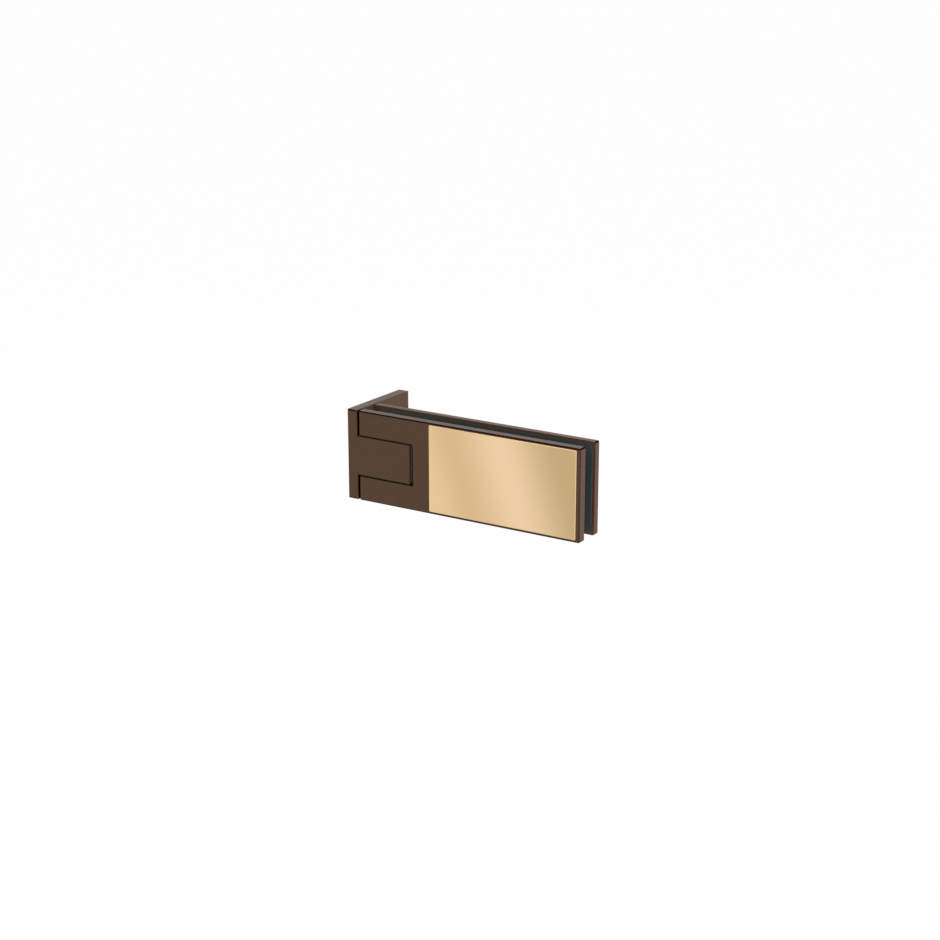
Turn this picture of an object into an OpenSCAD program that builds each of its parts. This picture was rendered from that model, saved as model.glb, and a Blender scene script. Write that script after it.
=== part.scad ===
// Lift hinge for a frameless glass door: a wall leg, a knuckle that rises on it, and a clamp leaf.
// Millimetres. x = 0 is the wall face, +X runs along the glass, +Y to the rear, +Z up.
// y = 0 is the middle of the glass and z = 0 the middle of the height.

/* [Leaf] */
// Height of the clamp plates and of the wall leg
body_h = 44; // [42:1:60]
// Distance from the wall face to the free end of the clamp
reach = 126.8; // [118:0.1:160]
// Thickness of the front plate
front_t = 4.5; // [4:0.1:6]
// Thickness of the rear plate
rear_t = 4; // [3.6:0.1:6]
// Thickness of the glass that the leaf clamps
glass_t = 8; // [6:1:10]
// Thickness of each gasket sheet
gasket_t = 0.5; // [0.4:0.1:1]
// How far the gaskets stand back from the edge of the plates
gasket_inset = 1.3; // [1:0.1:2]
// Corner radius of the gaskets
gasket_r = 3; // [2:0.5:4]
// Small chamfer on the outer edges
edge_c = 0.55; // [0.2:0.05:0.6]
// Radius of the corners at the free end of the plates
end_r = 0.8; // [0.7:0.1:2]
// Radius of the inner corners of the notch round the knuckle
notch_r = 1; // [0.5:0.1:1.5]

/* [Wall leg] */
// Thickness of the wall leg
wall_t = 5.4; // [4:0.1:6]
// Depth of the wall leg from the front face to its rear edge
leg_d = 44; // [42:1:60]
// Distance between the two wall screw holes
hole_pitch = 20; // [18:1:26]
// Diameter of the wall screw holes
hole_d = 6; // [5:0.5:7]
// Diameter of the countersinks over the wall screw holes
sink_d = 11.5; // [11:0.5:12]
// Distance of the wall screw holes from the rear edge
hole_setback = 12; // [10:1:14]

/* [Knuckle and rail] */
// Length of the knuckle along the glass
knuckle_l = 30; // [29:0.2:33]
// Height of the knuckle
knuckle_h = 19.2; // [18.4:0.2:20.4]
// Free space above and below the knuckle
knuckle_gap = 0.7; // [0.6:0.05:1]
// Free space between the end of the knuckle and the leaf
end_gap = 2.05; // [1.8:0.05:3]
// Hairline seam between the knuckle and the wall leg
seam = 0.05; // [0.05:0.05:0.3]
// Thickness of the two coated covers of the knuckle
cover_t = 1.2; // [1:0.1:1.2]
// Small chamfer on the edges of the covers
cover_c = 0.15; // [0.1:0.05:0.3]
// Free space between the wall leg and the arms of the leaf
arm_gap = 1.2; // [1:0.1:2]
// Clearance between the rail and its slot in the knuckle
slide_gap = 0.12; // [0.08:0.02:0.2]
// Width of the rail's neck
neck_w = 5; // [4:0.5:6]
// Width of the rail's head
head_w = 8.4; // [7.6:0.2:9]
// Length of the rail's neck
neck_l = 4; // [3:0.5:4]
// Thickness of the rail's head
head_t = 5; // [4:0.5:5]

/* [Pivot] */
// Distance of the pivot axis from the wall end of the arms
pivot_x = 15.7; // [15:0.1:16]
// Distance of the pivot axis behind the front face
pivot_d = 6.2; // [6:0.1:6.4]
// Radius of the pivot pin
pin_r = 3.5; // [3.2:0.1:3.6]
// Wall of the flanged bushes
bush_wall = 1; // [0.8:0.1:1.1]
// Length of each bush inside the knuckle
bush_l = 4.4; // [3:0.2:4.4]
// Radius of the bush flanges
flange_r = 5.2; // [4.8:0.1:5.6]
// Rise of the leaf over the whole swing
lift = 5; // [3:0.5:5]
// Swing of the leaf in degrees
swing = 90; // [60:5:95]
// Radius of the lift peg
peg_r = 1.5; // [1.2:0.1:1.6]

/* [Inlay] */
// Plain land between the knuckle notch and the inlay
land = 8.55; // [8:0.05:14]
// Width of the rim at the free end
rim_end = 1.85; // [1.2:0.05:4]
// Width of the rims above and below the inlay
rim = 0.85; // [0.8:0.05:3]
// Thickness of the inlay plate
inlay_t = 1; // [0.8:0.1:1.1]
// Thickness of the tape under the inlay
tape_t = 0.2; // [0.1:0.05:0.3]
// Corner radius of the inlay
inlay_r = 0.7; // [0.5:0.1:2]

/* [Clamp screws] */
// Distance of the first clamp screw from the wall end of the inlay
screw_in = 16.35; // [12:0.5:20]
// Distance of the second clamp screw from the free end
screw_out = 18; // [12:1:22]
// Radius of the clamp screws
screw_r = 2.5; // [2:0.25:2.5]
// Outer radius of the sleeves in the glass holes
sleeve_r = 6; // [5.6:0.2:7]

/* [Hidden] */
$fn = 64;
over = 1;
static_gap = 0.02;
run_gap = 0.04;
hole_gap = 0.15;
cap_gap = 0.2;
inlay_gap = 0.05;
bore_gap = 0.4;
stop_gap = 0.5;
half_h = body_h / 2;
inner_y = glass_t / 2 + gasket_t;
front_y = -inner_y - front_t;
rear_y = inner_y + rear_t;
leg_y = front_y + leg_d;
hole_y = leg_y - hole_setback;
arm_x = wall_t + arm_gap;
axis_x = arm_x + pivot_x;
axis_y = front_y + pivot_d;
knuckle_x = wall_t + seam;
knuckle_end = knuckle_x + knuckle_l;
notch_x = knuckle_end + end_gap;
arm_z = knuckle_h / 2 + knuckle_gap;
// Bosses on the arms that carry the pin, with caps screwed on behind
boss_rim = 3.7;
boss_top = half_h - boss_rim;
boss_inset = 1.2;
boss_gap = 0.7;
boss_x0 = arm_x + boss_inset;
boss_x1 = notch_x - boss_gap;
boss_mid = (arm_z + boss_top) / 2;
pin_wall = 1.3;
pin_end = boss_top - pin_wall;
pin_chamfer = 0.5;
flat_share = 0.74;
flat_d = pin_r * flat_share;
flat_z = arm_z + cap_gap;
cap_y = inner_y - cap_gap;
cap_screw_x = 10;
cap_screw_r = 1.5;
cap_head_r = 2.8;
cap_head_h = cap_head_r - cap_screw_r;
cap_thread = 5;
cap_socket = 1;
cap_key = 2;
// Peg, groove and rail
groove_r = peg_r + hole_gap;
root_share = 0.48;
groove_root = pin_r * root_share;
groove_steps = 13;
peg_z = lift / 2;
peg_seat = 1;
tip = 0.45;
peg_tip = axis_x - groove_root - cap_gap;
slot_z = lift / 2 + peg_r + cap_gap;
rail_x = wall_t + neck_l + head_t;
rail_top = knuckle_h / 2;
rail_low = lift + stop_gap - arm_z;
// Seats of the knuckle's covers, and the two spigots that hold each of them
cover_y = front_y + cover_t;
back_y = rear_y - cover_t;
spigot_r = 1.5;
spigot_l = 2;
spigot_in = 4.3;
spigot_z = 5.5;
bush_r = pin_r + bush_wall;
flange_t = knuckle_gap - cap_gap;
// Inlay and clamp screws
inlay_x0 = notch_x + land;
inlay_x1 = reach - rim_end;
inlay_z = half_h - rim;
recess_y = front_y + inlay_t + tape_t;
tape_inset = 1;
screw_x = [inlay_x0 + screw_in, reach - screw_out];
head_share = 1.84;
head_r = screw_r * head_share;
head_h = head_r - screw_r;
key_share = 1.2;
socket_key = screw_r * key_share;
socket_d = 1.5;
stud_wall = 1.5;
stud_r = screw_r + stud_wall;
stud_y = 0.5;
rear_skin = 1;
sleeve_gap = 0.1;
// Cut-outs in the gaskets, round the bosses and the sleeves
cut_gap = 0.3;
cut_land = 2.3;
cut_x = notch_x + cut_land;

// A sheet across the glass: a flat outline in x and z, from y0 to y1
module slab(y0, y1) {
    translate([0, y1, 0])
        rotate([90, 0, 0])
            linear_extrude(y1 - y0)
                children();
}

// A block given by its two opposite corners
module block(a, b) {
    translate(a)
        cube(b - a);
}

// A rod along y, from y0 to y1
module rod_y(r, y0, y1, r_end = 0) {
    translate([0, y1, 0])
        rotate([90, 0, 0])
            cylinder(r1 = r_end > 0 ? r_end : r, r2 = r, h = y1 - y0);
}

// A rod along x, from x0 to x1
module rod_x(r, x0, x1, r_end = 0) {
    translate([x0, 0, 0])
        rotate([0, 90, 0])
            cylinder(r1 = r, r2 = r_end > 0 ? r_end : r, h = x1 - x0);
}

// A flat outline with round corners, between x0 and x1 and z either side of the middle
module round_outline(x0, x1, z, r) {
    translate([x0 + r, -z])
        square([x1 - x0 - 2 * r, 2 * z]);
    translate([x0, r - z])
        square([x1 - x0, 2 * (z - r)]);
    for (x = [x0 + r, x1 - r])
        for (s = [-1, 1])
            translate([x, s * (z - r)])
                circle(r);
}

// A block with its edges at y0 chamfered by c, the far face left square
module dressed(x0, x1, y0, y1, z, c, left = true, right = true) {
    s = sign(y1 - y0);
    lc = left ? c : 0;
    rc = right ? c : 0;
    intersection() {
        translate([0, 0, -z])
            linear_extrude(2 * z)
                polygon([[x0 + lc, y0], [x1 - rc, y0], [x1, y0 + s * rc], [x1, y1], [x0, y1],
                    [x0, y0 + s * lc]]);
        translate([x0, 0, 0])
            rotate([90, 0, 90])
                linear_extrude(x1 - x0)
                    polygon([[y0, c - z], [y0, z - c], [y0 + s * c, z], [y1, z], [y1, -z],
                        [y0 + s * c, -z]]);
    }
}

// What the round corners at the free end take off a plate whose chamfer is at y0
module end_corners(y0, y1) {
    s = sign(y1 - y0);
    for (m = [0, 1])
        mirror([0, 0, m])
            translate([reach - end_r, 0, half_h - end_r])
                difference() {
                    block([0, min(y0, y1) - over, 0], [end_r + over, max(y0, y1) + over, end_r + over]);
                    translate([0, y0, 0])
                        rotate([-90 * s, 0, 0]) {
                            cylinder(r1 = end_r - edge_c, r2 = end_r, h = edge_c);
                            translate([0, 0, edge_c])
                                cylinder(r = end_r, h = abs(y1 - y0) + over);
                        }
                }
}

// The place of the pivot axis
module at_axis() {
    translate([axis_x, axis_y, 0])
        children();
}

// The four cap screw places, two on each boss
module at_cap_screws() {
    for (dx = [-1, 1])
        for (s = [-1, 1])
            translate([axis_x + dx * cap_screw_x, 0, s * boss_mid])
                children();
}

// The two spigot places of each cover of the knuckle
module at_spigots() {
    for (s = [-1, 1])
        translate([knuckle_end - spigot_in, 0, s * spigot_z])
            children();
}

// The two clamp screw places
module at_clamp_screws() {
    for (x = screw_x)
        translate([x, 0, 0])
            children();
}

// The open notch in which the knuckle sits
module notch(y0, y1) {
    slab(y0 - over, y1 + over)
        round_outline(arm_x - over - notch_r, notch_x, arm_z, notch_r);
}

// The T-shaped rail, or with a gap round it the slot for it
module rail(gap, z0, z1) {
    block([wall_t - gap, axis_y - neck_w / 2 - gap, z0], [wall_t + neck_l + head_t / 2,
        axis_y + neck_w / 2 + gap, z1]);
    block([wall_t + neck_l - gap, axis_y - head_w / 2 - gap, z0], [rail_x + gap,
        axis_y + head_w / 2 + gap, z1]);
}

// Leg on the wall, with its rail and two countersunk holes for the wall screws
module wall_leg() {
    color("#544033")
        difference() {
            union() {
                intersection() {
                    dressed(0, wall_t, front_y, leg_y, half_h, edge_c, true, false);
                    dressed(0, wall_t, leg_y, front_y, half_h, edge_c);
                }
                rail(0, rail_low, rail_top);
            }
            for (s = [-1, 1])
                translate([0, hole_y, s * hole_pitch / 2]) {
                    rod_x(hole_d / 2, -over, wall_t + over);
                    rod_x(hole_d / 2, wall_t - (sink_d - hole_d) / 2, wall_t, sink_d / 2);
                    rod_x(sink_d / 2, wall_t, wall_t + over);
                }
            translate([0, axis_y, peg_z])
                rod_x(peg_r + static_gap / 2, wall_t + neck_l - peg_seat, rail_x + over);
        }
}

// Hard peg in the rail, its tip in the pin's groove
module lift_peg() {
    color("#b9bcc0")
        translate([0, axis_y, peg_z]) {
            rod_x(peg_r, wall_t + neck_l - peg_seat, peg_tip - tip);
            rod_x(peg_r, peg_tip - tip, peg_tip, peg_r - tip);
        }
}

// Knuckle that slides on the rail and carries the bushes
module knuckle() {
    color("#36393b")
        difference() {
            block([knuckle_x, cover_y, -knuckle_h / 2], [knuckle_end, back_y, knuckle_h / 2]);
            rail(slide_gap, -half_h, half_h);
            at_spigots() {
                rod_y(spigot_r + static_gap, front_y, cover_y + spigot_l + cap_gap);
                rod_y(spigot_r + static_gap, back_y - spigot_l - cap_gap, rear_y);
            }
            at_axis() {
                cylinder(r = pin_r + bore_gap, h = body_h, center = true);
                for (s = [0, 1])
                    mirror([0, 0, s])
                        translate([0, 0, knuckle_h / 2 - bush_l - static_gap])
                            cylinder(r = bush_r + static_gap, h = bush_l + over);
            }
            // Upright slot through which the peg reaches the pin
            block([rail_x - over, axis_y - peg_r - hole_gap, -slot_z],
                [axis_x, axis_y + peg_r + hole_gap, slot_z]);
        }
}

// A coated cover plate with its face at y0 and its seat at y1, pressed into the knuckle by its spigots
module cover(y0, y1) {
    inwards = sign(y1 - y0);
    spigot_ends = [y1 - inwards * cover_t / 2, y1 + inwards * spigot_l];
    dressed(knuckle_x, knuckle_end, y0, y1, knuckle_h / 2, cover_c, false);
    at_spigots()
        rod_y(spigot_r, min(spigot_ends), max(spigot_ends));
}

// Cover on the front of the knuckle, flush with the front plate
module knuckle_cover() {
    color("#544033")
        cover(front_y, cover_y);
}

// Cover on the back of the knuckle, flush with the rear plate
module knuckle_back_cover() {
    color("#544033")
        cover(rear_y, back_y);
}

// Flanged bushes in the top and bottom of the knuckle
module pivot_bushes() {
    color("#2b2e31")
        at_axis()
            for (s = [0, 1])
                mirror([0, 0, s])
                    translate([0, 0, knuckle_h / 2])
                        difference() {
                            union() {
                                translate([0, 0, -bush_l])
                                    cylinder(r = bush_r, h = bush_l + flange_t);
                                cylinder(r = flange_r, h = flange_t);
                            }
                            translate([0, 0, -bush_l - over])
                                cylinder(r = pin_r + run_gap, h = bush_l + flange_t + 2 * over);
                        }
}

// Pivot pin, fast in the leaf, with flats at its ends and a rising groove for the peg
module pivot_pin() {
    color("#b9bcc0")
        at_axis()
            difference() {
                union() {
                    cylinder(r = pin_r, h = 2 * (pin_end - pin_chamfer), center = true);
                    for (s = [0, 1])
                        mirror([0, 0, s])
                            translate([0, 0, pin_end - pin_chamfer])
                                cylinder(r1 = pin_r, r2 = pin_r - pin_chamfer, h = pin_chamfer);
                }
                for (s = [0, 1])
                    mirror([0, 0, s])
                        block([-2 * pin_r, flat_d, flat_z], [2 * pin_r, 2 * pin_r, pin_end + over]);
                for (i = [0 : groove_steps - 1])
                    rotate([0, 0, 180 + swing * i / (groove_steps - 1)])
                        translate([0, 0, lift / 2 - lift * i / (groove_steps - 1)])
                            rod_x(groove_r, groove_root, pin_r + over);
            }
}

// Front half of the leaf: plate, two arms with pin saddles, and the recess for the inlay
module front_body() {
    color("#544033")
        difference() {
            union() {
                dressed(arm_x, reach, front_y, -inner_y, half_h, edge_c);
                for (s = [0, 1])
                    mirror([0, 0, s])
                        block([boss_x0, -inner_y - over, arm_z], [boss_x1, axis_y, boss_top]);
            }
            notch(front_y, inner_y);
            end_corners(front_y, -inner_y);
            at_axis()
                cylinder(r = pin_r + static_gap, h = 2 * (pin_end + cap_gap), center = true);
            slab(front_y - over, recess_y)
                round_outline(inlay_x0, inlay_x1, inlay_z, inlay_r);
            at_clamp_screws() {
                rod_y(screw_r + hole_gap, front_y, 0);
                rod_y(head_r + hole_gap, recess_y, recess_y + head_h, screw_r + hole_gap);
            }
            at_cap_screws()
                rod_y(cap_screw_r + static_gap, axis_y - cap_thread - cap_gap, 0);
        }
}

// Caps that clamp the pin's ends in their saddles
module pin_caps() {
    color("#8d8f92")
        difference() {
            for (s = [0, 1])
                mirror([0, 0, s])
                    plain_cap();
            at_axis()
                intersection() {
                    cylinder(r = pin_r + static_gap, h = 2 * (pin_end + cap_gap), center = true);
                    block([-2 * pin_r, -2 * pin_r, -half_h], [2 * pin_r, flat_d + static_gap, half_h]);
                }
            at_cap_screws() {
                rod_y(cap_screw_r + hole_gap, axis_y - over, cap_y + over);
                rod_y(cap_screw_r + hole_gap, cap_y - cap_head_h, cap_y, cap_head_r + hole_gap);
            }
        }
}

// One plain cap, above the knuckle
module plain_cap() {
    translate([0, 0, boss_mid])
        dressed(boss_x0, boss_x1, cap_y, axis_y, (boss_top - arm_z) / 2, edge_c);
}

// Countersunk screws of the pin caps
module cap_screws() {
    color("#b9bcc0")
        at_cap_screws()
            difference() {
                union() {
                    rod_y(cap_screw_r, axis_y - cap_thread, cap_y - cap_head_h);
                    rod_y(cap_screw_r, cap_y - cap_head_h, cap_y, cap_head_r);
                }
                translate([0, cap_y, 0])
                    rotate([90, 0, 0])
                        cylinder(d = cap_key * 2 / sqrt(3), h = 2 * cap_socket, center = true, $fn = 6);
            }
}

// Polished plate let into the front
module accent_inlay() {
    color("#d8b586")
        slab(front_y, front_y + inlay_t)
            round_outline(inlay_x0 + inlay_gap, inlay_x1 - inlay_gap, inlay_z - inlay_gap, inlay_r);
}

// Sheet of double-sided tape that holds the inlay
module inlay_tape() {
    color("#e8e6e0")
        slab(front_y + inlay_t, recess_y)
            round_outline(inlay_x0 + tape_inset, inlay_x1 - tape_inset, inlay_z - tape_inset, inlay_r);
}

// Gasket outline, cut out round the bosses and the sleeves
module gasket_outline() {
    difference() {
        round_outline(arm_x + gasket_inset, reach - gasket_inset, half_h - gasket_inset, gasket_r);
        translate([0, -boss_top - cut_gap])
            square([cut_x, 2 * (boss_top + cut_gap)]);
        for (x = screw_x)
            translate([x, 0])
                circle(sleeve_r + cut_gap);
    }
}

// Gasket between the front plate and the glass
module front_gasket() {
    color("#2b3334")
        slab(-inner_y, -inner_y + gasket_t)
            gasket_outline();
}

// Gasket between the glass and the rear plate
module rear_gasket() {
    color("#2b3334")
        slab(inner_y - gasket_t, inner_y)
            gasket_outline();
}

// Rear half of the leaf, with threaded studs that stand in the sleeves
module rear_plate() {
    color("#544033")
        difference() {
            union() {
                dressed(arm_x, reach, rear_y, inner_y, half_h, edge_c);
                at_clamp_screws()
                    rod_y(stud_r, stud_y, inner_y + over);
            }
            notch(inner_y, rear_y);
            end_corners(rear_y, inner_y);
            at_clamp_screws()
                rod_y(screw_r + static_gap, 0, rear_y - rear_skin);
        }
}

// Countersunk screws that draw the two plates together, hidden under the inlay
module clamp_screws() {
    color("#b9bcc0")
        at_clamp_screws()
            difference() {
                union() {
                    rod_y(head_r, recess_y, recess_y + head_h, screw_r);
                    rod_y(screw_r, recess_y + head_h, rear_y - rear_skin - cap_gap);
                }
                translate([0, recess_y, 0])
                    rotate([90, 0, 0])
                        cylinder(d = socket_key * 2 / sqrt(3), h = 2 * socket_d, center = true, $fn = 6);
            }
}

// Plastic sleeves that keep the screws off the glass
module glass_sleeves() {
    color("#2b2e31")
        at_clamp_screws()
            difference() {
                rod_y(sleeve_r, sleeve_gap - inner_y, inner_y - sleeve_gap);
                rod_y(stud_r + cap_gap, -inner_y, inner_y);
            }
}

wall_leg();
lift_peg();
knuckle();
knuckle_cover();
knuckle_back_cover();
pivot_bushes();
pivot_pin();
front_body();
pin_caps();
cap_screws();
accent_inlay();
inlay_tape();
front_gasket();
rear_gasket();
rear_plate();
clamp_screws();
glass_sleeves();
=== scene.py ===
import math

import bpy
from bpy.props import FloatProperty, FloatVectorProperty, PointerProperty
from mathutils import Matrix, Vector


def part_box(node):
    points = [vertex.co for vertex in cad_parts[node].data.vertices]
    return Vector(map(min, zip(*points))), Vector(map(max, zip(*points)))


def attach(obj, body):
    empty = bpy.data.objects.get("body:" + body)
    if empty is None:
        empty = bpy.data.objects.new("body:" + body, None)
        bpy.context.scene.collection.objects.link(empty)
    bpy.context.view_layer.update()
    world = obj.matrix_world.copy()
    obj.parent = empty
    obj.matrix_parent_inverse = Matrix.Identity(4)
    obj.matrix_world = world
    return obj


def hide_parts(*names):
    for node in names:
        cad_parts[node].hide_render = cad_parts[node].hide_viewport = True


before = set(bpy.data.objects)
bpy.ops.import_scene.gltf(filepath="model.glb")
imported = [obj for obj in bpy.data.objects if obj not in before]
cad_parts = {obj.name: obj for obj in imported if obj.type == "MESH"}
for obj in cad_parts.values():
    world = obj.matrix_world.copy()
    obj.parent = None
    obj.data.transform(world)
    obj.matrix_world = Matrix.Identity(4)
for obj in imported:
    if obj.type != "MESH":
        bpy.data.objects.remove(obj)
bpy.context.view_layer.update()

bl_info = {
    "name": "Lift hinge",
    "version": (1, 0, 0),
    "blender": (4, 5, 0),
    "location": "View3D > Sidebar > Lift hinge",
    "description": "Dresses a wall-mounted lift hinge with rounded edges, finishes and a studio",
    "category": "Object",
}

MM = 0.001
WHITE = (1.0, 1.0, 1.0, 1.0)
# Angles between faces: below the first they are one flat, past the second the edge is rounded over,
# and below the third they are shaded as one
FLAT = math.radians(0.3)
SHARP = math.radians(32)
SMOOTH = math.radians(35)
# Points closer than this are one
MERGED = 0.001 * MM
# How near a side of its piece a rounded or chamfered edge lies
NEAR_SIDE = 0.9 * MM
# Parts of a face's normal along an axis: past the first the face is square to it, and parts that
# differ by less than the second are equal
SQUARE = 0.99
EQUAL = 0.01
# Normal of an edge that catches the key light: its least part to the right, its least part to the
# front and its most up or down
LIT_RIGHT = 0.5
LIT_FRONT = 0.2
LIT_UPRIGHT = 0.2
# How far the edges of the flush seam lie to its side and behind it
SEAM_ASIDE = 0.3 * MM
SEAM_DEEP = 1.5 * MM
# Facets across a rounded edge
ROUND_FACETS = 3
# Floor: its size in metres, its share of plain white to the eye, and the shade that polished metal
# shows of it below the hinge, up to a reach in metres
FLOOR_SIZE = 40
FLOOR_WHITE = 0.98
FLOOR_SHADE = 0.6
FLOOR_REACH = 0.6
# Even light of the room on the hinge
ROOM_LIGHT = 0.55
# Lamps: name, place and size in metres, and power in watts
LAMPS = (
    ("key", (1.55, -0.48, 0.5), 0.9, 30.0),
    ("fill", (-0.9, -0.9, 0.4), 0.9, 4.0),
    ("rim", (-0.5, 0.9, 0.9), 0.6, 4.0),
)
# Camera: width of its sensor in millimetres, and the nearest thing it shows, in metres
SENSOR = 36
NEAREST = 0.01
# Flat sides of the graded belt
BELT_SIDES = 128
# Bands of the graded belt: how many go round, how far they lean, where they start to fade off its
# middle as a share of its height, and the tones across one of them
BANDS = 10
BAND_LEAN = 0.268
BAND_FADE = 0.434
BAND_STOPS = (
    (0.14, "#ffffff"), (0.30, "#ebeaea"), (0.36, "#ebeaea"), (0.432, "#dbd7d3"),
    (0.544, "#f3f3ff"), (0.672, "#c8c4bd"), (0.70, "#c8c4bd"), (0.86, "#ffffff"),
)


def linear(hex_colour):
    """An sRGB hex colour as linear red, green, blue and alpha."""
    parts = [int(hex_colour[i:i + 2], 16) / 255 for i in (1, 3, 5)]
    return [c / 12.92 if c <= 0.04045 else ((c + 0.055) / 1.055) ** 2.4 for c in parts] + [1.0]


def colour_property(name, description, hex_colour):
    """A colour that the user may change, given by its sRGB hex value."""
    return FloatVectorProperty(
        name=name, description=description, subtype="COLOR", size=4, min=0, max=1,
        default=linear(hex_colour))


def length_property(name, description, millimetres):
    """A length that the user may change, given in millimetres."""
    return FloatProperty(
        name=name, description=description, unit="LENGTH", min=0, precision=5, default=millimetres * MM)


class HingeSizes(bpy.types.PropertyGroup):
    """Edge radii and grain sizes of the hinge's finishes.

    The real grit, grain and lines are finer, and are drawn as coarse as they need to be to show.
    """
    coat_round: length_property("Coat edge", "Edge radius of the castings and the knuckle", 0.22)
    cover_round: length_property("Cover edge", "Edge radius of the knuckle's cover", 0.06)
    inlay_round: length_property("Inlay edge", "Edge radius of the polished inlay", 0.48)
    end_lit: length_property("Lit depth", "Depth to which the light reaches the faces in a gap", 0.7)
    seam_closed: length_property("Seam", "Width by which the coat closes the knuckle's seam", 0.04)
    rubber_round: length_property("Gasket edge", "Edge radius of the gaskets", 0.1)
    steel_round: length_property("Steel edge", "Edge radius of the screws and the lift peg", 0.08)
    fine_round: length_property("Fine edge", "Edge radius of the tape and of the grooved pin", 0.02)
    plastic_round: length_property("Plastic edge", "Edge radius of bushes and sleeves", 0.12)
    coat_grit: length_property("Coat grit", "Grain of the satin coat", 0.35)
    coat_cloud: length_property("Coat patches", "Size of the faint patches in the coat", 7)
    rubber_grain: length_property("Rubber grain", "Grain of the gaskets and the tape", 0.5)
    cast_grain: length_property("Cast grain", "Grain of the pin caps and the knuckle", 0.6)
    polish_line: length_property("Polish lines", "Spacing of the faint polishing lines", 0.4)
    turning_mark: length_property("Turning marks", "Size of the marks on turned steel and plastic", 0.25)


class HingeColours(bpy.types.PropertyGroup):
    """Colours of the hinge's finishes."""
    coat: colour_property("Coat", "Satin brown coat", "#4d3727")
    coat_deep: colour_property("Coat, deep", "Darker patches of the coat", "#493323")
    # Painted shade: the coat's rounded edges and the faces in narrow gaps are painted in these darker
    # colours, the second for its random darker patches
    edge: colour_property("Coat edge", "Coat over the rounded edges", "#1f120a")
    edge_deep: colour_property("Coat edge, deep", "Darker patches of the coat over the edges", "#1a0f08")
    # Painted light: the rounded edges turned to the key light are painted in these less dark colours, the
    # second for its random darker patches
    edge_lit: colour_property("Lit edge", "Coat over the edges turned to the key light", "#362519")
    edge_lit_deep: colour_property("Lit edge, deep", "Darker patches of the coat there", "#322317")
    gold: colour_property("Inlay", "Polished pale gold", "#fbdaa8")
    rubber: colour_property("Gasket", "Dark gasket rubber", "#2b3436")
    steel: colour_property("Steel", "Ground stainless steel", "#b9bcc0")
    alloy: colour_property("Alloy", "Bare cast alloy", "#8d8f92")
    anodised: colour_property("Anodised core", "Dark anodised knuckle", "#858f93")
    plastic: colour_property("Plastic", "Dark bearing plastic", "#2b2e31")
    tape: colour_property("Tape", "White foam tape", "#e8e6e0")
    floor: colour_property("Floor", "Plain pale floor", "#e9e9e9")


class HingeStage(bpy.types.PropertyGroup):
    """Camera and studio."""
    azimuth: FloatProperty(
        name="Azimuth", description="Camera's turn to the right of the front", subtype="ANGLE",
        default=math.radians(32.59))
    elevation: FloatProperty(
        name="Elevation", description="Camera's height above the horizon", subtype="ANGLE",
        default=math.radians(16.81))
    distance: length_property("Distance", "From the camera to the point it looks at", 917)
    lens: FloatProperty(
        name="Lens", description="Focal length in millimetres on a 36 mm sensor", default=76.73)
    aim_x: length_property("Aim along", "Point the camera looks at, from the wall", 69.03)
    aim_z: length_property("Aim up", "Point the camera looks at, above mid-height", 3.05)
    floor_drop: length_property("Floor drop", "Floor below the middle of the hinge", 300)
    belt_distance: length_property("Belt distance", "Graded belt from the inlay", 500)
    belt_height: length_property("Belt height", "Height of the graded belt", 590)


def add_node(tree, kind, settings, inputs):
    """Adds one shader node, sets its settings, and sets or links its inputs."""
    made = tree.nodes.new(kind)
    for name, value in settings.items():
        setattr(made, name, value)
    for name, value in inputs.items():
        if isinstance(value, bpy.types.NodeSocket):
            tree.links.new(value, made.inputs[name])
        else:
            made.inputs[name].default_value = value
    return made


def new_material(name):
    """An empty node material, its node tree and its Object coordinates."""
    made = bpy.data.materials.new(name)
    made.use_nodes = True
    tree = made.node_tree
    tree.nodes.clear()
    coords = add_node(tree, "ShaderNodeTexCoord", {}, {}).outputs["Object"]
    return made, tree, coords


def brown_coat(name, pale, deep, shine):
    """Powder coat on cast zinc, cured to satin: deep brown, a faint grit and a soft broad sheen."""
    sizes = bpy.context.scene.hinge_sizes
    made, tree, coords = new_material(name)
    grit = add_node(tree, "ShaderNodeTexNoise", {}, {
        "Vector": coords, "Scale": 1 / sizes.coat_grit, "Detail": 3.0, "Roughness": 0.6})
    cloud = add_node(tree, "ShaderNodeTexNoise", {}, {
        "Vector": coords, "Scale": 1 / sizes.coat_cloud, "Detail": 2.0})
    tone = add_node(tree, "ShaderNodeMix", {"data_type": "RGBA"}, {
        "Factor": cloud.outputs["Fac"], "A": pale[:], "B": deep[:]})
    sheen = add_node(tree, "ShaderNodeMapRange", {}, {
        "Value": grit.outputs["Fac"], "To Min": 0.36, "To Max": 0.5})
    bump = add_node(tree, "ShaderNodeBump", {}, {
        "Height": grit.outputs["Fac"], "Strength": 0.12, "Distance": 0.02 * MM})
    shader = add_node(tree, "ShaderNodeBsdfPrincipled", {}, {
        "Base Color": tone.outputs[2], "Roughness": sheen.outputs[0], "Normal": bump.outputs[0],
        "Specular IOR Level": shine})
    add_node(tree, "ShaderNodeOutputMaterial", {}, {"Surface": shader.outputs[0]})
    return made


def coat_set():
    """The coat on flat faces, and two copies with painted shade: a less dark one, as painted light, on
    edges turned to the key light, and the darkest on other edges and in narrow gaps.
    """
    colours = bpy.context.scene.hinge_colours
    return (brown_coat("satin_powder_coat", colours.coat, colours.coat_deep, 0.16),
            brown_coat("powder_coat_painted_lit_edges", colours.edge_lit, colours.edge_lit_deep, 0.1),
            brown_coat("powder_coat_painted_shade", colours.edge, colours.edge_deep, 0.0))


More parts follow.
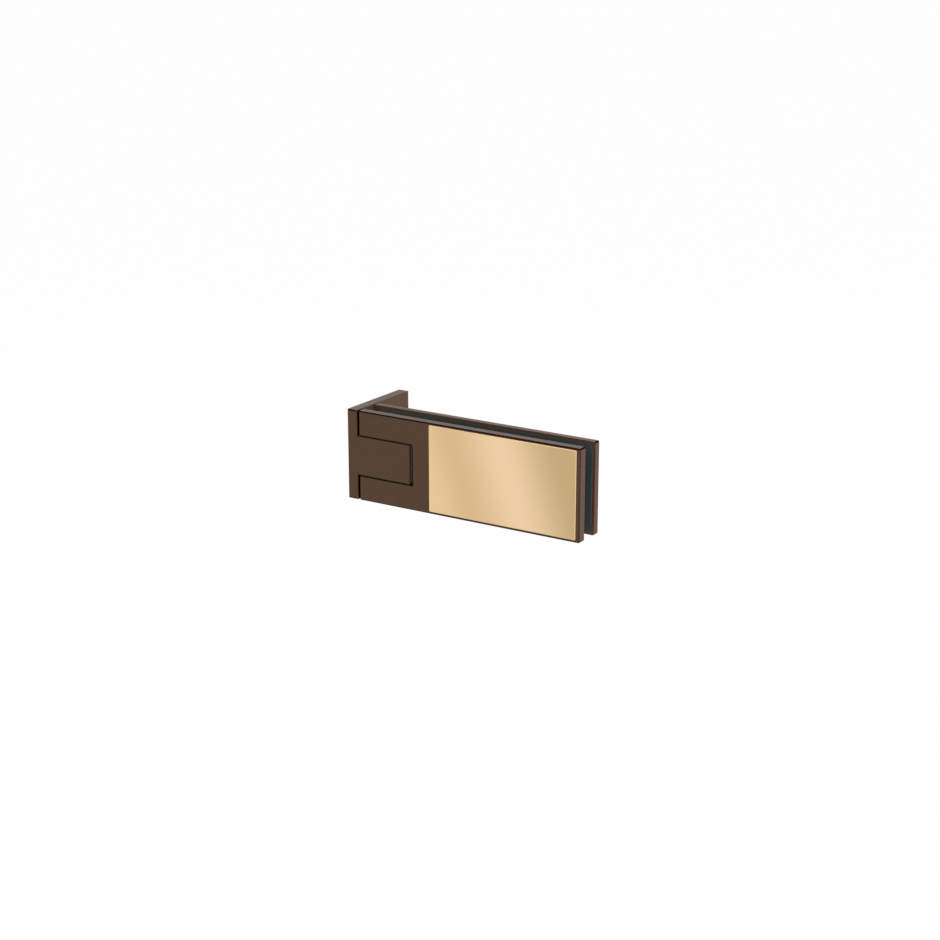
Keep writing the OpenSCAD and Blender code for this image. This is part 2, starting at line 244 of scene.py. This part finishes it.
def polished_gold():
    """Stainless sheet, polished and plated pale gold: clear soft reflections, faint polishing lines."""
    sizes = bpy.context.scene.hinge_sizes
    colours = bpy.context.scene.hinge_colours
    made, tree, coords = new_material("polished_gold_plate")
    stretched = add_node(tree, "ShaderNodeMapping", {}, {"Vector": coords, "Scale": (0.03, 1.0, 1.0)})
    lines = add_node(tree, "ShaderNodeTexNoise", {}, {
        "Vector": stretched.outputs[0], "Scale": 1 / sizes.polish_line, "Detail": 2.0})
    shine = add_node(tree, "ShaderNodeMapRange", {}, {
        "Value": lines.outputs["Fac"], "To Min": 0.05, "To Max": 0.09})
    bump = add_node(tree, "ShaderNodeBump", {}, {
        "Height": lines.outputs["Fac"], "Strength": 0.02, "Distance": 0.01 * MM})
    shader = add_node(tree, "ShaderNodeBsdfPrincipled", {}, {
        "Base Color": colours.gold[:], "Metallic": 1.0, "Roughness": shine.outputs[0],
        "Normal": bump.outputs[0]})
    add_node(tree, "ShaderNodeOutputMaterial", {}, {"Surface": shader.outputs[0]})
    return made


def grained_skin(tree, coords, grain, dull, strength, height):
    """A fine grain over a surface: an uneven dullness between two values, and a slight relief."""
    spots = add_node(tree, "ShaderNodeTexNoise", {}, {"Vector": coords, "Scale": 1 / grain, "Detail": 4.0})
    rough = add_node(tree, "ShaderNodeMapRange", {}, {
        "Value": spots.outputs["Fac"], "To Min": dull[0], "To Max": dull[1]})
    bump = add_node(tree, "ShaderNodeBump", {}, {
        "Height": spots.outputs["Fac"], "Strength": strength, "Distance": height})
    return {"Roughness": rough.outputs[0], "Normal": bump.outputs[0]}


def gasket_rubber():
    """EPDM sheet, die cut: dull blue-black with a fine grain and almost no shine."""
    sizes = bpy.context.scene.hinge_sizes
    colours = bpy.context.scene.hinge_colours
    made, tree, coords = new_material("gasket_sheet_rubber")
    skin = grained_skin(tree, coords, sizes.rubber_grain, (0.65, 0.85), 0.3, 0.03 * MM)
    shader = add_node(tree, "ShaderNodeBsdfPrincipled", {}, {
        "Base Color": colours.rubber[:], "Specular IOR Level": 0.3, **skin})
    add_node(tree, "ShaderNodeOutputMaterial", {}, {"Surface": shader.outputs[0]})
    return made


def ground_steel():
    """Stainless bar, turned and ground: cool grey metal with fine uneven marks in its shine."""
    sizes = bpy.context.scene.hinge_sizes
    colours = bpy.context.scene.hinge_colours
    made, tree, coords = new_material("ground_stainless_steel")
    marks = add_node(tree, "ShaderNodeTexNoise", {}, {
        "Vector": coords, "Scale": 1 / sizes.turning_mark, "Detail": 2.0})
    shine = add_node(tree, "ShaderNodeMapRange", {}, {
        "Value": marks.outputs["Fac"], "To Min": 0.22, "To Max": 0.36})
    shader = add_node(tree, "ShaderNodeBsdfPrincipled", {}, {
        "Base Color": colours.steel[:], "Metallic": 1.0, "Roughness": shine.outputs[0]})
    add_node(tree, "ShaderNodeOutputMaterial", {}, {"Surface": shader.outputs[0]})
    return made


def cast_alloy():
    """Zinc die casting, left bare: dull grey metal with a sandy skin."""
    sizes = bpy.context.scene.hinge_sizes
    colours = bpy.context.scene.hinge_colours
    made, tree, coords = new_material("bare_cast_zinc")
    skin = grained_skin(tree, coords, sizes.cast_grain, (0.45, 0.62), 0.3, 0.03 * MM)
    shader = add_node(tree, "ShaderNodeBsdfPrincipled", {}, {
        "Base Color": colours.alloy[:], "Metallic": 1.0, **skin})
    add_node(tree, "ShaderNodeOutputMaterial", {}, {"Surface": shader.outputs[0]})
    return made


def dark_alloy():
    """Aluminium block, blasted and anodised: even blue-grey with a dull, fine-grained shine."""
    sizes = bpy.context.scene.hinge_sizes
    colours = bpy.context.scene.hinge_colours
    made, tree, coords = new_material("dark_anodised_aluminium")
    skin = grained_skin(tree, coords, sizes.cast_grain, (0.45, 0.6), 0.15, 0.02 * MM)
    shader = add_node(tree, "ShaderNodeBsdfPrincipled", {}, {
        "Base Color": colours.anodised[:], "Metallic": 0.4, **skin})
    add_node(tree, "ShaderNodeOutputMaterial", {}, {"Surface": shader.outputs[0]})
    return made


def bearing_plastic():
    """Acetal, machined: near-black and waxy, with a soft sheen."""
    sizes = bpy.context.scene.hinge_sizes
    colours = bpy.context.scene.hinge_colours
    made, tree, coords = new_material("machined_acetal")
    marks = add_node(tree, "ShaderNodeTexNoise", {}, {
        "Vector": coords, "Scale": 1 / sizes.turning_mark, "Detail": 2.0})
    sheen = add_node(tree, "ShaderNodeMapRange", {}, {
        "Value": marks.outputs["Fac"], "To Min": 0.4, "To Max": 0.55})
    shader = add_node(tree, "ShaderNodeBsdfPrincipled", {}, {
        "Base Color": colours.plastic[:], "Roughness": sheen.outputs[0], "Specular IOR Level": 0.4})
    add_node(tree, "ShaderNodeOutputMaterial", {}, {"Surface": shader.outputs[0]})
    return made


def foam_tape():
    """Acrylic foam tape: white and dull, with open cells at its edge."""
    sizes = bpy.context.scene.hinge_sizes
    colours = bpy.context.scene.hinge_colours
    made, tree, coords = new_material("acrylic_foam_tape")
    cells = add_node(tree, "ShaderNodeTexVoronoi", {}, {"Vector": coords, "Scale": 1 / sizes.rubber_grain})
    bump = add_node(tree, "ShaderNodeBump", {}, {
        "Height": cells.outputs["Distance"], "Strength": 0.2, "Distance": 0.03 * MM})
    shader = add_node(tree, "ShaderNodeBsdfPrincipled", {}, {
        "Base Color": colours.tape[:], "Roughness": 0.9, "Normal": bump.outputs[0]})
    add_node(tree, "ShaderNodeOutputMaterial", {}, {"Surface": shader.outputs[0]})
    return made


def select_only(obj):
    """Makes one object the active and only selected one."""
    bpy.ops.object.select_all(action="DESELECT")
    obj.select_set(True)
    bpy.context.view_layer.objects.active = obj


def meets_flush(corners, seam):
    """True for an edge along the seam of wall leg and knuckle in front, which has to stay a hairline."""
    return all(abs(p.x - seam.x) < SEAM_ASIDE and p.y < seam.y + SEAM_DEEP for p in corners)


def is_edge_face(face, low, high):
    """True for a chamfer by a side of the piece's box, and for any leaning face close to two sides."""
    small, middle, large = sorted(abs(part) for part in face.normal)
    sides = sum(min(c - a, b - c) < NEAR_SIDE for c, a, b in zip(face.center, low, high))
    return large < SQUARE and (sides >= 2 or sides == 1 and small < EQUAL and large - middle < EQUAL)


def catches_light(face):
    """True for an upright edge between the front and the right that is turned to the key light."""
    right, rear, up = face.normal
    return right > LIT_RIGHT and -rear > LIT_FRONT and abs(up) < LIT_UPRIGHT


def in_gap(face, depths):
    """True for a face turned to the right that lies between two depths, inside a narrow gap, where the
    coat gets painted shade.
    """
    return bool(depths) and face.normal.x > SQUARE and depths[0] < face.center.y < depths[1]


def finished_copy(node, name, materials, edge, body, gap=(), closed=0):
    """A copy of a CAD node with flat faces made whole and its edges rounded, in place of the node.

    Of several materials, the second, which for the coat is painted light, goes on the edges that catch
    the light, and the last, which for the coat is painted shade, on the other rounded and chamfered
    edges and on the faces that stand in a narrow gap between two depths. The left side may grow to close a
    seam.
    """
    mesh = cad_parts[node].data.copy()
    mesh.name = name
    made = bpy.data.objects.new(name, mesh)
    bpy.context.scene.collection.objects.link(made)
    mesh.materials.clear()
    for material in materials:
        mesh.materials.append(material)
    select_only(made)
    bpy.ops.object.mode_set(mode="EDIT")
    bpy.ops.mesh.select_mode(type="EDGE")
    bpy.ops.mesh.select_all(action="SELECT")
    bpy.ops.mesh.remove_doubles(threshold=MERGED)
    bpy.ops.mesh.dissolve_limited(angle_limit=FLAT)
    for depth in gap:
        bpy.ops.mesh.select_all(action="SELECT")
        bpy.ops.mesh.bisect(plane_co=(0, depth, 0), plane_no=(0, 1, 0))
    bpy.ops.mesh.select_all(action="DESELECT")
    bpy.ops.mesh.edges_select_sharp(sharpness=SHARP)
    bpy.ops.transform.edge_bevelweight(value=1.0)
    bpy.ops.object.mode_set(mode="OBJECT")
    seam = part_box("knuckle_cover")[0]
    weights = mesh.attributes["bevel_weight_edge"].data
    for line in mesh.edges:
        if meets_flush([mesh.vertices[i].co for i in line.vertices], seam):
            weights[line.index].value = 0
    last = len(materials) - 1
    low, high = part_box(node)
    for face in mesh.polygons:
        # Painted shade: chamfers, leaning faces by two sides and faces in a narrow gap get the last
        # material, which for the coat is painted dark
        face.material_index = last if is_edge_face(face, low, high) or in_gap(face, gap) else 0
    for corner in mesh.vertices:
        if corner.co.x < low.x + MERGED:
            corner.co.x -= closed
    bpy.ops.object.shade_smooth_by_angle(angle=SMOOTH)
    bevel = made.modifiers.new("edges", "BEVEL")
    bevel.width = edge
    bevel.segments = ROUND_FACETS
    bevel.limit_method = "WEIGHT"
    # The rounded faces get the last material too, which for the coat is painted shade
    bevel.material = last
    bevel.harden_normals = True
    bpy.ops.object.modifier_apply(modifier=bevel.name)
    # Painted light: leaning faces turned to the key light get the second material, which for the coat is
    # painted less dark
    for face in made.data.polygons:
        if last > 0 and catches_light(face):
            face.material_index = 1
    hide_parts(node)
    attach(made, body)


class HINGE_OT_castings(bpy.types.Operator):
    """The coated castings: wall leg, the knuckle's two covers, front body and rear plate"""
    bl_idname = "hinge.castings"
    bl_label = "Coated castings"

    def execute(self, context):
        coat = coat_set()
        sizes = context.scene.hinge_sizes
        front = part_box("front_body")[0].y
        plate_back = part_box("front_gasket")[0].y
        cover_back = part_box("knuckle")[0].y
        # Faces turned to the right in the slot and in the knuckle's gap, behind the lit depth, get painted
        # shade
        finished_copy("wall_leg", "coated_wall_leg", coat, sizes.coat_round, "wall",
                      gap=(front + sizes.end_lit, plate_back))
        finished_copy("knuckle_cover", "coated_knuckle_cover", coat, sizes.cover_round, "carriage",
                      gap=(front + sizes.end_lit, cover_back), closed=sizes.seam_closed)
        finished_copy("knuckle_back_cover", "coated_knuckle_back_cover", coat, sizes.cover_round,
                      "carriage")
        for node in ("front_body", "rear_plate"):
            finished_copy(node, "coated_" + node, coat, sizes.coat_round, "leaf")
        return {"FINISHED"}


class HINGE_OT_inlay(bpy.types.Operator):
    """The polished inlay and the tape under it"""
    bl_idname = "hinge.inlay"
    bl_label = "Inlay"

    def execute(self, context):
        sizes = context.scene.hinge_sizes
        finished_copy("accent_inlay", "polished_inlay", [polished_gold()], sizes.inlay_round, "leaf")
        finished_copy("inlay_tape", "inlay_foam_tape", [foam_tape()], sizes.fine_round, "leaf")
        return {"FINISHED"}


class HINGE_OT_gaskets(bpy.types.Operator):
    """The two gasket sheets"""
    bl_idname = "hinge.gaskets"
    bl_label = "Gaskets"

    def execute(self, context):
        rubber = gasket_rubber()
        for side in ("front", "rear"):
            finished_copy(side + "_gasket", side + "_gasket_sheet", [rubber],
                          context.scene.hinge_sizes.rubber_round, "leaf")
        return {"FINISHED"}


class HINGE_OT_pivot(bpy.types.Operator):
    """The pivot: knuckle, pin, peg, bushes and the caps that hold the pin"""
    bl_idname = "hinge.pivot"
    bl_label = "Pivot"

    def execute(self, context):
        sizes = context.scene.hinge_sizes
        steel = ground_steel()
        finished_copy("knuckle", "anodised_knuckle", [dark_alloy()], sizes.coat_round, "carriage")
        finished_copy("pivot_pin", "ground_pivot_pin", [steel], sizes.fine_round, "leaf")
        finished_copy("lift_peg", "ground_lift_peg", [steel], sizes.steel_round, "wall")
        finished_copy("pivot_bushes", "flanged_bushes", [bearing_plastic()], sizes.plastic_round,
                      "carriage")
        finished_copy("pin_caps", "cast_pin_caps", [cast_alloy()], sizes.coat_round, "leaf")
        return {"FINISHED"}


class HINGE_OT_fasteners(bpy.types.Operator):
    """The screws, and the sleeves round the clamp screws"""
    bl_idname = "hinge.fasteners"
    bl_label = "Screws and sleeves"

    def execute(self, context):
        sizes = context.scene.hinge_sizes
        steel = ground_steel()
        for node in ("cap_screws", "clamp_screws"):
            finished_copy(node, "steel_" + node, [steel], sizes.steel_round, "leaf")
        finished_copy("glass_sleeves", "moulded_sleeves", [bearing_plastic()], sizes.plastic_round, "leaf")
        return {"FINISHED"}


class HINGE_OT_stage(bpy.types.Operator):
    """Floor, studio light, graded belt and camera"""
    bl_idname = "hinge.stage"
    bl_label = "Stage"

    def execute(self, context):
        stage = context.scene.hinge_stage
        back = away(stage.azimuth, stage.elevation)
        aim = Vector((stage.aim_x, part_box("front_body")[0].y, stage.aim_z))
        make_camera(context, aim, back)
        make_floor(context)
        make_world(context)
        make_lamps()
        make_belt(context)
        context.scene.view_settings.view_transform = "Standard"
        return {"FINISHED"}


def away(azimuth, elevation):
    """Direction from the hinge towards a viewer: azimuth to the right of the front, elevation upwards."""
    flat = math.cos(elevation)
    return Vector((math.sin(azimuth) * flat, -math.cos(azimuth) * flat, math.sin(elevation)))


def make_camera(context, aim, back):
    """The camera, at the photograph's viewing angle."""
    stage = context.scene.hinge_stage
    data = bpy.data.cameras.new("camera")
    data.sensor_width = SENSOR
    data.lens = stage.lens
    data.clip_start = NEAREST
    made = bpy.data.objects.new("camera", data)
    made.location = aim + back * stage.distance
    made.rotation_euler = (-back).to_track_quat("-Z", "Y").to_euler()
    context.scene.collection.objects.link(made)
    context.scene.camera = made


def seen_directly(tree):
    """1 for rays from the camera, off polished or through clear things, 0 for the light on things."""
    path = add_node(tree, "ShaderNodeLightPath", {}, {})
    either = add_node(tree, "ShaderNodeMath", {"operation": "MAXIMUM"}, {
        0: path.outputs["Is Camera Ray"], 1: path.outputs["Is Glossy Ray"]})
    return add_node(tree, "ShaderNodeMath", {"operation": "MAXIMUM"}, {
        0: either.outputs[0], 1: path.outputs["Is Transmission Ray"]}).outputs[0]


def make_floor(context):
    """A plain pale floor, well below the hinge, as it hangs on a wall.

    It is white to the eye, and polished metal shows it shaded close to the hinge.
    """
    bpy.ops.object.select_all(action="DESELECT")
    bpy.ops.mesh.primitive_plane_add(
        size=FLOOR_SIZE, location=(0, 0, -context.scene.hinge_stage.floor_drop))
    floor = context.object
    floor.name = "floor"
    made, tree, coords = new_material("pale_floor")
    matt = add_node(tree, "ShaderNodeBsdfDiffuse", {}, {"Color": context.scene.hinge_colours.floor[:]})
    reach = add_node(tree, "ShaderNodeVectorMath", {"operation": "LENGTH"}, {0: coords})
    shade = add_node(tree, "ShaderNodeMapRange", {"interpolation_type": "SMOOTHSTEP"}, {
        "Value": reach.outputs["Value"], "From Max": FLOOR_REACH, "To Min": FLOOR_SHADE})
    mirrored = add_node(tree, "ShaderNodeLightPath", {}, {}).outputs["Is Glossy Ray"]
    level = add_node(tree, "ShaderNodeMix", {"data_type": "FLOAT"}, {
        "Factor": mirrored, "A": 1.0, "B": shade.outputs[0]})
    white = add_node(tree, "ShaderNodeEmission", {}, {"Strength": level.outputs[0]})
    share = add_node(tree, "ShaderNodeMath", {"operation": "MULTIPLY"}, {
        0: seen_directly(tree), 1: FLOOR_WHITE})
    both = add_node(tree, "ShaderNodeMixShader", {}, {
        0: share.outputs[0], 1: matt.outputs[0], 2: white.outputs[0]})
    add_node(tree, "ShaderNodeOutputMaterial", {}, {"Surface": both.outputs[0]})
    floor.data.materials.append(made)


def make_world(context):
    """White behind the hinge and in its reflections, and an even soft light on it."""
    world = bpy.data.worlds.new("studio")
    world.use_nodes = True
    tree = world.node_tree
    tree.nodes.clear()
    strength = add_node(tree, "ShaderNodeMapRange", {}, {
        "Value": seen_directly(tree), "To Min": ROOM_LIGHT, "To Max": 1.0})
    light = add_node(tree, "ShaderNodeBackground", {}, {"Color": WHITE, "Strength": strength.outputs[0]})
    add_node(tree, "ShaderNodeOutputWorld", {}, {"Surface": light.outputs[0]})
    context.scene.world = world


def make_lamps():
    """A broad key from the upper right, a weaker fill from the left and a rim light from behind."""
    for name, place, size, power in LAMPS:
        data = bpy.data.lights.new(name, "AREA")
        data.size = size
        data.energy = power
        lamp = bpy.data.objects.new(name, data)
        lamp.location = place
        lamp.rotation_euler = (-Vector(place)).to_track_quat("-Z", "Y").to_euler()
        bpy.context.scene.collection.objects.link(lamp)


def make_belt(context):
    """A belt of graded bands round the hinge, which only polished metal shows.

    The bands repeat, so that the metal has soft light and dark from every side.
    """
    stage = context.scene.hinge_stage
    low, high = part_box("accent_inlay")
    radius = stage.belt_distance * math.cos(stage.elevation)
    drop = stage.belt_distance * math.sin(stage.elevation)
    bpy.ops.object.select_all(action="DESELECT")
    bpy.ops.mesh.primitive_cylinder_add(
        vertices=BELT_SIDES, radius=radius, depth=stage.belt_height, end_fill_type="NOTHING",
        location=((low.x + high.x) / 2, low.y, 0))
    belt = context.object
    belt.name = "graded_belt"
    belt.visible_camera = False
    belt.visible_diffuse = False
    belt.visible_shadow = False
    belt.visible_transmission = False
    made, tree, coords = new_material("graded_card")
    parts = add_node(tree, "ShaderNodeSeparateXYZ", {}, {0: coords}).outputs
    turn = add_node(tree, "ShaderNodeMath", {"operation": "ARCTAN2"}, {0: parts["Y"], 1: parts["X"]})
    bands_a_radian = BANDS / math.tau
    lean = BAND_LEAN * bands_a_radian / radius
    first = 0.5 + (stage.azimuth + math.pi / 2) * bands_a_radian + drop * lean
    across = add_node(tree, "ShaderNodeMath", {"operation": "MULTIPLY_ADD"}, {
        0: turn.outputs[0], 1: bands_a_radian, 2: first})
    leaning = add_node(tree, "ShaderNodeMath", {"operation": "MULTIPLY_ADD"}, {
        0: parts["Z"], 1: lean, 2: across.outputs[0]})
    place = add_node(tree, "ShaderNodeMath", {"operation": "FRACT"}, {0: leaning.outputs[0]})
    ramp = add_node(tree, "ShaderNodeValToRGB", {}, {"Fac": place.outputs[0]})
    band = ramp.color_ramp
    band.interpolation = "EASE"
    while len(band.elements) < len(BAND_STOPS):
        band.elements.new(1.0)
    for element, (stop, tone) in zip(band.elements, BAND_STOPS):
        element.position = stop
        element.color = linear(tone)
    off_middle = add_node(tree, "ShaderNodeMath", {"operation": "ABSOLUTE"}, {0: parts["Z"]})
    fade = add_node(tree, "ShaderNodeMapRange", {"interpolation_type": "SMOOTHSTEP"}, {
        "Value": off_middle.outputs[0], "From Min": stage.belt_height * BAND_FADE,
        "From Max": stage.belt_height / 2})
    tint = add_node(tree, "ShaderNodeMix", {"data_type": "RGBA"}, {
        "Factor": fade.outputs[0], "A": ramp.outputs["Color"], "B": WHITE})
    glow = add_node(tree, "ShaderNodeEmission", {}, {"Color": tint.outputs[2], "Strength": 1.0})
    add_node(tree, "ShaderNodeOutputMaterial", {}, {"Surface": glow.outputs[0]})
    belt.data.materials.append(made)


class HINGE_PT_panel(bpy.types.Panel):
    """Sizes, colours and steps of the lift hinge"""
    bl_idname = "HINGE_PT_panel"
    bl_label = "Lift hinge"
    bl_space_type = "VIEW_3D"
    bl_region_type = "UI"
    bl_category = "Lift hinge"

    def draw(self, context):
        for group in (context.scene.hinge_sizes, context.scene.hinge_colours, context.scene.hinge_stage):
            column = self.layout.column()
            for name in group.__annotations__:
                column.prop(group, name)
        for step in OPERATORS:
            self.layout.operator(step.bl_idname)


OPERATORS = (HINGE_OT_castings, HINGE_OT_inlay, HINGE_OT_gaskets, HINGE_OT_pivot, HINGE_OT_fasteners,
             HINGE_OT_stage)
GROUPS = (("hinge_sizes", HingeSizes), ("hinge_colours", HingeColours), ("hinge_stage", HingeStage))


def register():
    for name, group in GROUPS:
        bpy.utils.register_class(group)
        setattr(bpy.types.Scene, name, PointerProperty(type=group))
    for kind in OPERATORS + (HINGE_PT_panel,):
        bpy.utils.register_class(kind)


def unregister():
    for kind in reversed(OPERATORS + (HINGE_PT_panel,)):
        bpy.utils.unregister_class(kind)
    for name, group in reversed(GROUPS):
        delattr(bpy.types.Scene, name)
        bpy.utils.unregister_class(group)


def main():
    """Registers the add-on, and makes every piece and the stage."""
    register()
    bpy.ops.hinge.castings()
    bpy.ops.hinge.inlay()
    bpy.ops.hinge.gaskets()
    bpy.ops.hinge.pivot()
    bpy.ops.hinge.fasteners()
    bpy.ops.hinge.stage()


if __name__ == "__main__":
    main()
